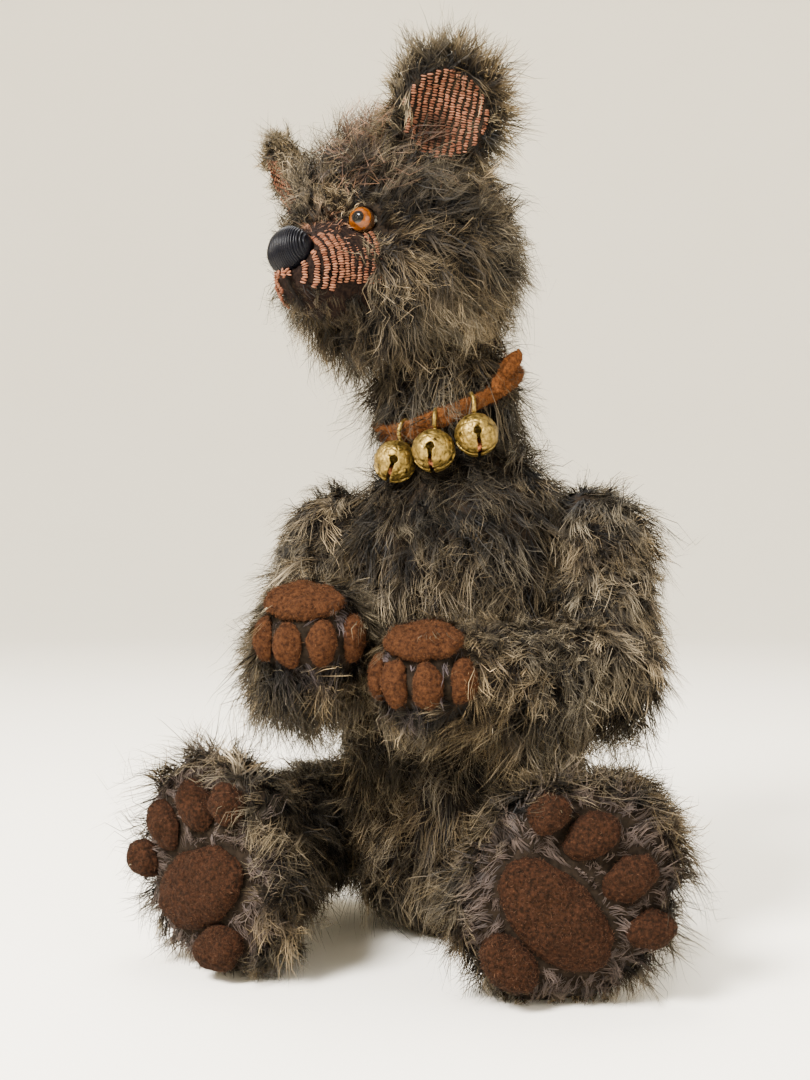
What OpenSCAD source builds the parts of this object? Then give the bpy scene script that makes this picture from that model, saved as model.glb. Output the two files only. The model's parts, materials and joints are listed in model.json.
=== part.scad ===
// Jointed teddy bear: a mohair bear sitting with bent arms, a double-jointed neck and three bells.
// Millimetres. +Z is up, the bear faces -Y and its left is +X. The origin is the middle of the
// flat seat under the body, and every joint is a pair of hardboard discs on a bolt.

/* [Body] */
// Height of the body from the seat to the flat that the neck turns on
body_h = 95; // [92:0.5:98]
// Forward lean of the body
body_lean = 5; // [3:0.5:7]
// Half the distance between the flats that the arms turn against
shoulder_flat = 19; // [18.8:0.1:19.2]
// Half the distance between the flats that the legs turn against
hip_flat = 20.5; // [20.3:0.1:20.7]
// Thickness of the mohair cloth with the dense foot of its pile
skin = 1.2; // [0.8:0.1:1.6]
// Radius of the pouch of steel shot that weights the seat
pouch_r = 9.5; // [8:0.5:9.5]

/* [Arms] */
// Middle of the left shoulder, mirrored for the right
shoulder = [25.5, -5.5, 76]; // [-10:0.1:90]
// Left elbow, mirrored for the right
elbow = [31, -17, 52]; // [-20:0.1:60]
// Middle of the left paw
left_paw = [4, -44.5, 52.6]; // [-50:0.5:60]
// Middle of the right paw
right_paw = [-17, -45, 59]; // [-50:0.5:65]
// Radius of a paw
paw_r = 9; // [8:0.5:10]

/* [Legs] */
// Middle of the left hip, mirrored for the right
hip = [28.6, 2, 19.2]; // [2:0.1:32]
// Middle of the left foot seen from above
left_foot = [27.6, -47]; // [-50:0.1:40]
// Middle of the right foot seen from above
right_foot = [-34.4, -45]; // [-50:0.1:40]
// How far the left foot is turned out
left_out = 20; // [15:1:30]
// How far the right foot is turned out
right_out = 26; // [20:1:36]
// How far the left foot is rolled outward about its sole
left_roll = 44; // [0:1:50]
// How far the right foot is rolled outward about its sole
right_roll = 24; // [0:1:50]
// Half the height of a foot from heel to toes
foot_r = 19.3; // [18:0.1:19.5]
// Width of a foot as a share of its height
foot_slim = 0.86; // [0.84:0.01:0.9]

/* [Neck and head] */
// Radius of the neck
neck_r = 11.5; // [10.5:0.5:12]
// Middle of the skull
skull = [-10.8, -13.8, 131.6]; // [-15:0.1:140]
// How far the head is turned to the bear's right
head_turn = 27; // [20:1:35]
// How far the head is tilted to the bear's right
head_tilt = 10; // [6:1:12]
// Radius of the skull
skull_r = 20.5; // [19.5:0.5:21]
// Radius of an ear
ear_r = 9.4; // [8.5:0.1:10]
// How far each ear is turned outward
ear_out = 45; // [35:1:50]
// Diameter of a glass eye
eye_d = 4.8; // [4:0.1:5.5]

/* [Collar and bells] */
// Diameter of a bell
bell_d = 8; // [7:0.1:8]
// Tilt of the collar on the neck
collar_tilt = 25; // [15:1:26]
// Width of the suede lace
lace_w = 2.7; // [2:0.1:2.8]

/* [Joint hardware] */
// Diameter of a joint bolt
bolt_d = 3; // [2.5:0.1:3]
// Thickness of a hardboard disc
disc_t = 1.5; // [1:0.1:1.8]
// Radius of an arm's discs
arm_disc_r = 5.2; // [4.5:0.1:5.4]
// Radius of a leg's discs
leg_disc_r = 6.8; // [6:0.1:7]
// Radius of the neck's discs
neck_disc_r = 6.6; // [6:0.1:6.8]

/* [Hidden] */
$fn = 48;

gap = 0.1;
loose = 0.3;
big = 200;
bolt_r = bolt_d / 2;
hole_r = bolt_r + gap;
washer_r = 3.4;
washer_t = 0.6;
nut_t = 3;
nut_r = 2.9;
head_t = 2.2;
flange_r = 3.3;
bolt_tail = 0.6;
arc_steps = 7;
pear_steps = 3;

// Radius of the body at heights along its axis, from the edge of the seat to the neck flat
pear = [
    [10.6, -1.4], [17, 3.5], [22.5, 11], [24.8, 22], [24.4, 34], [22.6, 48],
    [21.6, 62], [21, 75], [18.8, 83], [14.2, 89.3], [9, body_h]
];

skull_lift = 18.8;
skull_forward = 6;

// A vector of the head's own frame, turned and tilted with the head
function in_head(v) = let (
    tilted = [v[0] * cos(head_tilt) - v[2] * sin(head_tilt), v[1],
        v[0] * sin(head_tilt) + v[2] * cos(head_tilt)])
    [tilted[0] * cos(head_turn) + tilted[1] * sin(head_turn),
        tilted[1] * cos(head_turn) - tilted[0] * sin(head_turn), tilted[2]];

up_lean = [0, -sin(body_lean), cos(body_lean)];
neck_foot = up_lean * (body_h + loose);
neck_top = skull + in_head([0, skull_forward, -skull_lift]);
bell_r = bell_d / 2;
loop_r = 2.3;
loop_wire = 0.4;
arm_r = 9.4;
elbow_r = 7.6;
forearm_more = 0.4;
wrist_r = 7.6;
thigh_r = 11;
ankle_r = 10;
shoulder_flat_r = 22;
hip_flat_r = 21;
collar_r = neck_r + 2.5;
lace_t = 1.2;
collar_s = body_h + 8;
collar_low = -55;
collar_shift = -1.9;
bell_wall = 0.5;
bell_reach = loop_r + loop_wire + bell_r - bell_wall / 2;
bell_lean = 34;
bell_at = [-25, 2, 29];
bell_spin = [40, 3, -12];
slot_w = 0.7;
slot_end_r = 0.75;
slot_top = 1.2;

// ---------------------------------------------------------------- shared shapes

function between(a, b, c, d, t) =
    0.5 * ((2 * b) + (c - a) * t + (2 * a - 5 * b + 4 * c - d) * t * t
        + (3 * b - a - 3 * c + d) * t * t * t);

// Points of a smooth curve through the stations
function curve(p, n) = let (last = len(p) - 1) concat(
    [for (i = [0:last - 1]) for (j = [0:n - 1])
        between(p[max(i - 1, 0)], p[i], p[i + 1], p[min(i + 2, last)], j / n)],
    [p[last]]
);

function unit(v) = v / norm(v);

// The curve moved inward by t
function inset(p, t) = [for (i = [0:len(p) - 1])
    let (d = unit(p[min(i + 1, len(p) - 1)] - p[max(i - 1, 0)])) p[i] + t * [-d[1], d[0]]];

// A turned solid from an outline of [radius, height] points
module turned(outline) {
    rotate_extrude()
        polygon(concat([[0, outline[0][1]]], outline, [[0, outline[len(outline) - 1][1]]]));
}

// Turns +Z to a direction
module aim(d) {
    rotate([0, acos(d[2] / norm(d)), atan2(d[1], d[0])]) children();
}

// A round bar with ball ends of two radii
module limb(a, b, ra, rb) {
    d = b - a;
    lift = asin((ra - rb) / norm(d));
    outline = concat(
        [for (i = [1:arc_steps]) let (t = -90 + i * (90 + lift) / arc_steps)
            [ra * cos(t), ra * sin(t)]],
        [for (i = [0:arc_steps - 1]) let (t = lift + i * (90 - lift) / arc_steps)
            [rb * cos(t), norm(d) + rb * sin(t)]]
    );
    translate(a) aim(d)
        rotate_extrude() polygon(concat([[0, -ra]], outline, [[0, norm(d) + rb]]));
}

// A ball squashed to three radii
module egg(r) {
    scale(r) sphere(1);
}

// Keeps what is on the outer side of the limb's flat, x > at
module beyond(at) {
    intersection() {
        children();
        translate([at, -big / 2, -big / 2]) cube(big);
    }
}

module mirrored(side) {
    if (side < 0) mirror([1, 0, 0]) children();
    else children();
}

module along_body() {
    rotate([body_lean, 0, 0]) children();
}

module at_neck_top() {
    translate(neck_top) rotate([0, 0, -head_turn]) rotate([0, -head_tilt, 0]) children();
}

module at_skull() {
    at_neck_top() translate([0, -skull_forward, skull_lift]) children();
}

// ---------------------------------------------------------------- joint hardware

// A hardboard disc, its face at z = 0
module disc(r) {
    difference() {
        cylinder(h = disc_t, r = r);
        translate([0, 0, -1]) cylinder(h = disc_t + 2, r = hole_r);
    }
}

module washer() {
    difference() {
        cylinder(h = washer_t, r = washer_r);
        translate([0, 0, -1]) cylinder(h = washer_t + 2, r = hole_r);
    }
}

module locknut() {
    difference() {
        union() {
            cylinder(h = nut_t * 0.7, r = nut_r, $fn = 6);
            cylinder(h = nut_t, r = nut_r * 0.8);
        }
        translate([0, 0, -1]) cylinder(h = nut_t + 2, r = bolt_r + 0.02);
    }
}

// A flanged bolt: its head starts at z = 0 and its shank runs down to -long
module bolt(long) {
    cylinder(h = 0.7, r = flange_r);
    translate([0, 0, 0.7]) cylinder(h = head_t - 0.7, r = nut_r * 0.9, $fn = 6);
    translate([0, 0, -long]) cylinder(h = long, r = bolt_r);
}

// Places along a joint's axis, measured out from the face between the two halves
out_disc = skin + gap;
out_head = out_disc + disc_t + gap;
in_disc = -skin - gap - disc_t;
in_washer = in_disc - gap - washer_t;
in_nut = in_washer - gap - nut_t;
bolt_long = out_head - in_nut + bolt_tail;

function flat_of(at) = at == hip ? hip_flat : shoulder_flat;

module body_axis(at) {
    translate([flat_of(at), at[1], at[2]]) rotate([0, 90, 0]) children();
}

module limb_axis(at) {
    body_axis(at) translate([0, 0, loose]) children();
}

// Room for the hardware inside a stuffing: outward from a flat, or inward from it
module room_out(r) {
    translate([0, 0, -1]) cylinder(h = 1 + out_head + head_t + loose, r = r + loose);
}

module room_in(r) {
    translate([0, 0, in_nut - bolt_tail - loose - 0.5])
        cylinder(h = 20, r = r + loose);
}

// ---------------------------------------------------------------- body

// Body form, moved inward by t; the limbs sit in shallow round flats
module body_form(t) {
    outline = inset(curve(pear, pear_steps), t);
    difference() {
        along_body() turned([for (p = outline) [p[0], min(p[1], body_h - t)]]);
        translate([-big / 2, -big / 2, t - big]) cube(big);
        for (side = [-1, 1]) mirrored(side) {
            body_axis(shoulder) translate([0, 0, -t]) cylinder(h = big, r = shoulder_flat_r + t);
            body_axis(hip) translate([0, 0, -t]) cylinder(h = big, r = hip_flat_r + t);
        }
    }
}

module body_skin() {
    color("DarkOliveGreen") difference() {
        body_form(0);
        body_form(skin);
        for (side = [-1, 1]) mirrored(side) {
            for (at = [shoulder, hip]) body_axis(at)
                translate([0, 0, -5]) cylinder(h = 10, r = hole_r);
        }
        along_body() translate([0, 0, body_h - 5]) cylinder(h = 10, r = hole_r);
    }
}

module pouch(grow) {
    translate([0, -3, pouch_r + 5.5]) sphere(pouch_r + grow);
}

module body_stuffing() {
    color("Ivory") difference() {
        body_form(skin + gap);
        pouch(gap);
        for (side = [-1, 1]) mirrored(side) {
            body_axis(shoulder) room_in(arm_disc_r);
            body_axis(hip) room_in(leg_disc_r);
        }
        along_body() translate([0, 0, body_h]) room_in(neck_disc_r);
    }
}

module shot_pouch() {
    color("Linen") pouch(0);
}

module body_pair(at) {
    for (side = [-1, 1]) mirrored(side) body_axis(at) children();
}

module body_arm_discs() {
    color("SaddleBrown") body_pair(shoulder) translate([0, 0, in_disc]) disc(arm_disc_r);
}

module body_leg_discs() {
    color("SaddleBrown") body_pair(hip) translate([0, 0, in_disc]) disc(leg_disc_r);
}

module body_neck_disc() {
    color("SaddleBrown") along_body() translate([0, 0, body_h + in_disc]) disc(neck_disc_r);
}

module body_washers() {
    color("Silver") {
        for (at = [shoulder, hip]) body_pair(at) translate([0, 0, in_washer]) washer();
        along_body() translate([0, 0, body_h + in_washer]) washer();
    }
}

// Hand stitches that close the back seam
module closing_stitches() {
    stitches = 8;
    color("DarkSlateGray") for (i = [0:stitches - 1])
        along_body() translate([0, 28.9, 27 + 2.4 * i]) rotate([0, 90, 0])
            cylinder(h = 1.6, r = 0.22, center = true, $fn = 16);
}

// ---------------------------------------------------------------- neck

// A short barrel that leans with the head, cut flat at both discs
module neck_form(t) {
    bulge = 6.5;
    way = unit(neck_top - neck_foot);
    limb(neck_foot + bulge * way, neck_top - bulge * way, neck_r - t, neck_r - 0.2 - t);
}

module neck_block(t) {
    difference() {
        neck_form(t);
        at_neck_top() translate([-big / 2, -big / 2, -loose - t]) cube(big);
        along_body() translate([-big / 2, -big / 2, body_h + loose + t - big]) cube(big);
    }
}

module neck_skin() {
    color("DarkOliveGreen") difference() {
        neck_block(0);
        neck_block(skin);
        along_body() translate([0, 0, body_h - 2]) cylinder(h = 5, r = hole_r);
        at_neck_top() translate([0, 0, -4]) cylinder(h = 6, r = hole_r);
    }
}

module lower_joint() {
    along_body() translate([0, 0, body_h + loose]) children();
}

module upper_joint() {
    at_neck_top() translate([0, 0, -loose]) mirror([0, 0, 1]) children();
}

module neck_stuffing() {
    color("Ivory") difference() {
        neck_block(skin + gap);
        lower_joint() room_out(neck_disc_r);
        upper_joint() room_out(neck_disc_r);
    }
}

module neck_discs() {
    color("SaddleBrown") {
        lower_joint() translate([0, 0, out_disc]) disc(neck_disc_r);
        upper_joint() translate([0, 0, out_disc]) disc(neck_disc_r);
    }
}

module neck_bolts() {
    color("Silver") {
        lower_joint() translate([0, 0, out_head]) bolt(bolt_long + loose);
        upper_joint() translate([0, 0, out_head]) bolt(bolt_long + loose);
    }
}

module neck_locknuts() {
    color("Silver") {
        lower_joint() translate([0, 0, in_nut - loose]) locknut();
        upper_joint() translate([0, 0, in_nut - loose]) locknut();
    }
}

// ---------------------------------------------------------------- collar and bells

// The collar's plane: low at the front right and high at the back left
module collar_plane() {
    along_body() translate([collar_shift, 0, collar_s]) rotate([0, 0, collar_low])
        rotate([collar_tilt, 0, 0]) children();
}

module collar_lace() {
    color("Sienna") collar_plane() difference() {
        cylinder(h = lace_w, r = collar_r + lace_t, center = true);
        cylinder(h = lace_w + 1, r = collar_r, center = true);
    }
}

// A point on the middle of the lace, in the body's frame, at a turn round the collar
function lace_point(turn) = let (
    r = collar_r + lace_t / 2,
    t = turn - collar_low,
    p = [r * sin(t), -r * cos(t) * cos(collar_tilt), -r * cos(t) * sin(collar_tilt)])
    [p[0] * cos(collar_low) - p[1] * sin(collar_low) + collar_shift,
        p[0] * sin(collar_low) + p[1] * cos(collar_low), p[2] + collar_s];

// A bell's place: its loop hangs on the lace and it leans out over the chest
module on_lace(turn) {
    along_body() translate(lace_point(turn)) rotate([0, 0, turn]) children();
}

// Crossed slots over the bottom of a bell, each with round ends
module bell_slots() {
    for (a = [0, 90]) rotate([0, 0, a]) translate([0, 0, -slot_top]) {
        rotate([0, 90, 0]) cylinder(h = bell_d + 2, r = slot_end_r, center = true, $fn = 24);
        translate([0, 0, -bell_r]) cube([bell_d + 2, slot_w, bell_d], center = true);
    }
}

module bell(i) {
    color("DarkGoldenrod") on_lace(bell_at[i]) rotate([-bell_lean, 0, 0]) {
        rotate([0, 90, 0]) rotate_extrude() translate([loop_r, 0]) circle(loop_wire, $fn = 16);
        translate([0, 0, -bell_reach]) rotate([0, 0, bell_spin[i]]) difference() {
            sphere(bell_r);
            sphere(bell_r - bell_wall);
            bell_slots();
        }
    }
}

module pellet(turn) {
    color("DimGray") on_lace(turn) rotate([-bell_lean, 0, 0])
        translate([0, 0, -bell_reach]) rotate([bell_lean, 0, 0]) translate([0, 0, -1.9]) sphere(1.4);
}

module right_bell() { bell(0); }
module middle_bell() { bell(1); }
module left_bell() { bell(2); }
module right_bell_pellet() { pellet(bell_at[0]); }
module middle_bell_pellet() { pellet(bell_at[1]); }
module left_bell_pellet() { pellet(bell_at[2]); }

// ---------------------------------------------------------------- head

jaw_at = [0, -7, -7.5];
jaw_r = 13;
nape_at = [0, skull_forward, -8.5];
nape_r = 13.7;
muzzle_back = [0, -12, -5.5];
muzzle_tip = [0, -22.5, -7.2];
muzzle_back_r = 10.8;
muzzle_tip_r = 7;
eye_at = [8.4, -18.4, 0.6];
ear_at = [20.3, -5.5, 19];
eye_r = eye_d / 2;
panel_t = 0.9;

module muzzle_form(t) {
    limb(muzzle_back, muzzle_tip, muzzle_back_r - t, muzzle_tip_r - t);
}

module skull_form(t) {
    sphere(skull_r - t);
}

module head_form(t) {
    difference() {
        union() {
            skull_form(t);
            muzzle_form(t);
            translate(jaw_at) sphere(jaw_r - t);
            translate(nape_at) sphere(nape_r - t);
        }
        translate([-big / 2, -big / 2, -big - skull_lift + t]) cube(big);
    }
}

module eye_seats(grow) {
    for (side = [-1, 1]) mirrored(side) {
        translate(eye_at) sphere(eye_r + grow);
        translate(eye_at) aim(-eye_at) cylinder(h = 9, r = 0.5 + grow);
    }
}

module head_skin() {
    color("DarkOliveGreen") at_skull() difference() {
        head_form(0);
        head_form(skin);
        eye_seats(gap);
        translate([0, skull_forward, -skull_lift - 2]) cylinder(h = 5, r = hole_r);
    }
}

module head_stuffing() {
    color("Ivory") at_skull() difference() {
        head_form(skin + gap);
        eye_seats(gap + 1);
        translate([0, skull_forward, -skull_lift]) mirror([0, 0, 1]) room_in(neck_disc_r);
    }
}

module head_disc() {
    color("SaddleBrown") at_neck_top() translate([0, 0, out_disc]) disc(neck_disc_r);
}

module head_washer() {
    color("Silver") at_neck_top() translate([0, 0, out_disc + disc_t + gap]) washer();
}

// The bald woven panel over the end of the muzzle
module muzzle_panel() {
    color("RosyBrown") at_skull() difference() {
        muzzle_form(-panel_t - gap);
        muzzle_form(-gap);
        skull_form(-gap);
        translate(jaw_at) sphere(jaw_r + gap);
        nose_form(gap);
        eye_seats(gap);
    }
}

module nose_form(grow) {
    translate([0, -28.9, -3.9]) egg([4.7 + grow, 3.3 + grow, 4.1 + grow]);
}

module nose() {
    color("Black") at_skull() difference() {
        nose_form(0);
        muzzle_form(-gap);
    }
}

// Thread below the nose and along the two halves of the mouth
module mouth_stitches() {
    thread = 0.3;
    color("Black") at_skull() translate(muzzle_tip) {
        rotate([0, 90, 0]) intersection() {
            rotate_extrude() translate([muzzle_tip_r + panel_t + gap * 2 + thread, 0])
                circle(thread, $fn = 16);
            translate([1.2, -big, -2]) cube([5.5, big, 4]);
        }
    }
}

module glass_eyes() {
    color("DarkOrange") at_skull() for (side = [-1, 1]) mirrored(side) translate(eye_at) {
        sphere(eye_r);
        aim(-eye_at) cylinder(h = 6.5, r = 0.4, $fn = 16);
        aim(-eye_at) translate([0, 0, 7.3]) rotate([90, 0, 0])
            rotate_extrude() translate([1, 0]) circle(0.35, $fn = 16);
    }
}

// A cupped ear, its hollow facing forward and out
module ear(side) {
    color("DarkOliveGreen") at_skull() mirrored(side) difference() {
        translate(ear_at) rotate([0, 30, 0]) rotate([90, 0, ear_out]) difference() {
            egg([ear_r, ear_r * 1.08, 3.6]);
            translate([0, 0, 4.8]) egg([ear_r * 0.86, ear_r * 0.92, 4.8]);
        }
        skull_form(-gap);
    }
}

module right_ear() { ear(-1); }
module left_ear() { ear(1); }

// ---------------------------------------------------------------- arms

function paw_of(side) = side < 0 ? [-right_paw[0], right_paw[1], right_paw[2]] : left_paw;

module arm_form(side, t) {
    paw = paw_of(side);
    beyond(shoulder_flat + loose + t) limb(shoulder, elbow, arm_r - t, elbow_r - t);
    limb(elbow, paw, elbow_r + forearm_more - t, wrist_r - t);
    translate(paw) rotate([0, 0, -90]) sphere(paw_r - t);
}

module arm_skin(side) {
    color("DarkOliveGreen") mirrored(side) difference() {
        arm_form(side, 0);
        arm_form(side, skin);
        limb_axis(shoulder) translate([0, 0, -1]) cylinder(h = 4, r = hole_r);
    }
}

module arm_stuffing(side) {
    color("Ivory") mirrored(side) difference() {
        arm_form(side, skin + gap);
        limb_axis(shoulder) room_out(arm_disc_r);
    }
}

module limb_disc(side, at, r) {
    color("SaddleBrown") mirrored(side) limb_axis(at) translate([0, 0, out_disc]) disc(r);
}

module limb_bolt(side, at) {
    color("Silver") mirrored(side) limb_axis(at) translate([0, 0, out_head])
        bolt(bolt_long + loose);
}

module limb_locknut(side, at) {
    color("Silver") mirrored(side) body_axis(at) translate([0, 0, in_nut]) locknut();
}

// A pad stuffed proud of the paw, pointing from its middle toward a direction
module paw_pad(side, turn, rise, size) {
    mirrored(side) difference() {
        translate(paw_of(side)) rotate([0, 0, turn]) rotate([rise, 0, 0])
            translate([0, 0, paw_r - 0.2]) egg(size);
        translate(paw_of(side)) sphere(paw_r + gap);
        limb(elbow, paw_of(side), elbow_r + forearm_more + gap, wrist_r + gap);
    }
}

palm_rise = 42;
finger_rise = 96;
finger_turns = [-66, -27, 11, 50];

module palm_pad(side) {
    color("SaddleBrown") paw_pad(side, 0, palm_rise, [7, 4.2, 2.4]);
}

module finger_pads(side) {
    color("SaddleBrown") for (turn = finger_turns)
        paw_pad(side, turn, finger_rise - abs(turn) * 0.12, [2.6, 4.1, 2.3]);
}

module right_arm_skin() { arm_skin(-1); }
module right_arm_stuffing() { arm_stuffing(-1); }
module right_arm_disc() { limb_disc(-1, shoulder, arm_disc_r); }
module right_arm_bolt() { limb_bolt(-1, shoulder); }
module right_arm_locknut() { limb_locknut(-1, shoulder); }
module right_palm_pad() { palm_pad(-1); }
module right_finger_pads() { finger_pads(-1); }
module left_arm_skin() { arm_skin(1); }
module left_arm_stuffing() { arm_stuffing(1); }
module left_arm_disc() { limb_disc(1, shoulder, arm_disc_r); }
module left_arm_bolt() { limb_bolt(1, shoulder); }
module left_arm_locknut() { limb_locknut(1, shoulder); }
module left_palm_pad() { palm_pad(1); }
module left_finger_pads() { finger_pads(1); }

// ---------------------------------------------------------------- legs

ankle_y = -33;
foot_back = 9;
sole_y = -7;
foot_edge = 0.7;

function out_of(side) = side < 0 ? right_out : left_out;
function roll_of(side) = side < 0 ? right_roll : left_roll;

// A foot's middle, high enough for its lower edge to stand level with the seat
function foot_of(side) = let (
    at = side < 0 ? [-right_foot[0], right_foot[1]] : left_foot,
    high = foot_r * norm([foot_slim * sin(roll_of(side)), cos(roll_of(side))]))
    [at[0], at[1], high];

// The foot's own frame: its sole faces -Y and its toes are up
module at_foot(side) {
    translate(foot_of(side)) rotate([0, 0, out_of(side)]) rotate([0, roll_of(side), 0]) children();
}

// A thick oval foot, softer at the back than at the sole
module foot_form(side, t) {
    wide = foot_r - t;
    at_foot(side) scale([foot_slim, 1, 1]) rotate([90, 0, 0]) turned([
        for (a = [-90:15:90]) let (deep = a < 0 ? foot_back : -sole_y)
            [wide * pow(cos(a), foot_edge), (deep - t) * sin(a)]
    ]);
}

module leg_form(side, t) {
    ankle = [(hip[0] + foot_of(side)[0]) / 2 + 0.5, ankle_y, hip[2]];
    beyond(hip_flat + loose + t) limb(hip, ankle, thigh_r - t, ankle_r - t);
    foot_form(side, t);
}

module leg_skin(side) {
    color("DarkOliveGreen") mirrored(side) difference() {
        leg_form(side, 0);
        leg_form(side, skin);
        limb_axis(hip) translate([0, 0, -1]) cylinder(h = 4, r = hole_r);
    }
}

module leg_stuffing(side) {
    color("Ivory") mirrored(side) difference() {
        leg_form(side, skin + gap);
        limb_axis(hip) room_out(leg_disc_r);
    }
}

// A pad stuffed proud of the sole, at x and z on the sole and turned about its normal
module sole_part(side, x, z, turn, size) {
    mirrored(side) difference() {
        at_foot(side) translate([x, sole_y + 0.7, z]) rotate([0, turn, 0]) egg(size);
        foot_form(side, -gap);
    }
}

module sole_pad(side) {
    color("SaddleBrown") sole_part(side, -0.4, -3.6, 2, [11.2, 3.9, 6.7]);
}

module heel_pad(side) {
    color("SaddleBrown") sole_part(side, -0.6, -14.4, 0, [5.5, 3.3, 3.9]);
}

// Four toes in a flat arc above the sole pad: place on the sole, turn, width and length
toes = [
    [[-12.5, 7.4], 0, 3.1, 3.7], [[-5, 9.5], 16, 3.6, 5.1],
    [[4.1, 8.9], 20, 3.5, 5.2], [[12.5, 5.3], 34, 3.2, 4]
];

module toe_pads(side) {
    color("SaddleBrown") for (toe = toes)
        sole_part(side, toe[0][0], toe[0][1], toe[1], [toe[2], 3.2, toe[3]]);
}

module right_leg_skin() { leg_skin(-1); }
module right_leg_stuffing() { leg_stuffing(-1); }
module right_leg_disc() { limb_disc(-1, hip, leg_disc_r); }
module right_leg_bolt() { limb_bolt(-1, hip); }
module right_leg_locknut() { limb_locknut(-1, hip); }
module right_sole_pad() { sole_pad(-1); }
module right_heel_pad() { heel_pad(-1); }
module right_toe_pads() { toe_pads(-1); }
module left_leg_skin() { leg_skin(1); }
module left_leg_stuffing() { leg_stuffing(1); }
module left_leg_disc() { limb_disc(1, hip, leg_disc_r); }
module left_leg_bolt() { limb_bolt(1, hip); }
module left_leg_locknut() { limb_locknut(1, hip); }
module left_sole_pad() { sole_pad(1); }
module left_heel_pad() { heel_pad(1); }
module left_toe_pads() { toe_pads(1); }

// ---------------------------------------------------------------- drawing
body_skin();
body_stuffing();
shot_pouch();
body_arm_discs();
body_leg_discs();
body_neck_disc();
body_washers();
closing_stitches();
neck_skin();
neck_stuffing();
neck_discs();
neck_bolts();
neck_locknuts();
collar_lace();
right_bell();
middle_bell();
left_bell();
right_bell_pellet();
middle_bell_pellet();
left_bell_pellet();
head_skin();
head_stuffing();
head_disc();
head_washer();
muzzle_panel();
nose();
mouth_stitches();
glass_eyes();
right_ear();
left_ear();
right_arm_skin();
right_arm_stuffing();
right_arm_disc();
right_arm_bolt();
right_arm_locknut();
right_palm_pad();
right_finger_pads();
left_arm_skin();
left_arm_stuffing();
left_arm_disc();
left_arm_bolt();
left_arm_locknut();
left_palm_pad();
left_finger_pads();
right_leg_skin();
right_leg_stuffing();
right_leg_disc();
right_leg_bolt();
right_leg_locknut();
right_sole_pad();
right_heel_pad();
right_toe_pads();
left_leg_skin();
left_leg_stuffing();
left_leg_disc();
left_leg_bolt();
left_leg_locknut();
left_sole_pad();
left_heel_pad();
left_toe_pads();
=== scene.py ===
"""Looks of the jointed mohair bear: cloth, pile, suede pads, woven muzzle, nose, eyes, lace and bells.

Lengths in this script are millimetres until a mesh is made. The bear faces -Y and +Z is up.
"""

import json
import math

import bpy
import numpy as np
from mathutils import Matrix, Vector
from mathutils.bvhtree import BVHTree
from mathutils.kdtree import KDTree


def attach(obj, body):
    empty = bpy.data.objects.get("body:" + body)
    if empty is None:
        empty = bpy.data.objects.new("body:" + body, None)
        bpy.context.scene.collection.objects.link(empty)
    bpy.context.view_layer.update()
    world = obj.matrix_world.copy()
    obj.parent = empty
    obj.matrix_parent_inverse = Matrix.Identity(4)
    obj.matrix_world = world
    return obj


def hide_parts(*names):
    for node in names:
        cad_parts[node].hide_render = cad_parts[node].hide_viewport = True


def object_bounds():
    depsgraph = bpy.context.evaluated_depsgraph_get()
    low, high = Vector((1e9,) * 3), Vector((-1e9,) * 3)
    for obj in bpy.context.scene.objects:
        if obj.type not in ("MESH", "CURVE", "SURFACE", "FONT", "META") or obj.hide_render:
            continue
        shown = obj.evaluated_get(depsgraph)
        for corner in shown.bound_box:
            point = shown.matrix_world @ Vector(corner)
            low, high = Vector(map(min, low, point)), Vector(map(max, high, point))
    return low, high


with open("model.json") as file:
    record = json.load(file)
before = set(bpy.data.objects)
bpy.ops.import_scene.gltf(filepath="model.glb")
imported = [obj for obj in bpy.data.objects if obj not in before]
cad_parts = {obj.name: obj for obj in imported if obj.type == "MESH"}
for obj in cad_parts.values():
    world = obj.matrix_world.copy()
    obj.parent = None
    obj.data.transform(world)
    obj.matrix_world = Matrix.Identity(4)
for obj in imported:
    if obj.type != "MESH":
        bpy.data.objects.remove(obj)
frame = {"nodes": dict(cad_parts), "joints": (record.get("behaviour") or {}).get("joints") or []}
start_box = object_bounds()

MM = 0.001
NODES = frame["nodes"]
JOINTS = {j["name"]: np.array(j["pos_m"]) / MM for j in frame["joints"]}
SIDES = {"right": -1, "left": 1}
BELLS = ("right_bell", "middle_bell", "left_bell")
SIDEWAYS, DOWN = np.array([1.0, 0, 0]), np.array([0, 0, -1.0])
LIMB_JOINTS = {"right_arm": "right_shoulder", "left_arm": "left_shoulder",
               "right_leg": "right_hip", "left_leg": "left_hip"}


# ---- numbers

def unit(v):
    v = np.asarray(v, float)
    return v / np.maximum(np.linalg.norm(v, axis=-1, keepdims=True), 1e-9)


def dot(a, b):
    return np.sum(a * b, axis=-1)


def smooth(low, high, x):
    """0 below low, 1 above high, and an even turn between them."""
    t = np.clip((np.asarray(x, float) - low) / (high - low), 0, 1)
    return t * t * (3 - 2 * t)


def mix(a, b, t):
    return a + (b - a) * t


def ripple(points, size, seed, waves=14):
    """An uneven field from about -1 to 1 whose lumps are about size millimetres across."""
    rng = np.random.default_rng(seed)
    total = np.zeros(len(points))
    for _ in range(waves):
        direction = unit(rng.normal(size=3))
        turns = rng.uniform(0.6, 1.5) / size
        total += np.sin(points @ direction * turns * 2 * math.pi + rng.uniform(0, 6.3))
    return total / math.sqrt(waves)


# ---- meshes

def linked(name, data):
    """A new object in the scene that holds data."""
    made = bpy.data.objects.new(name, data)
    bpy.context.scene.collection.objects.link(made)
    return made


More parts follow.
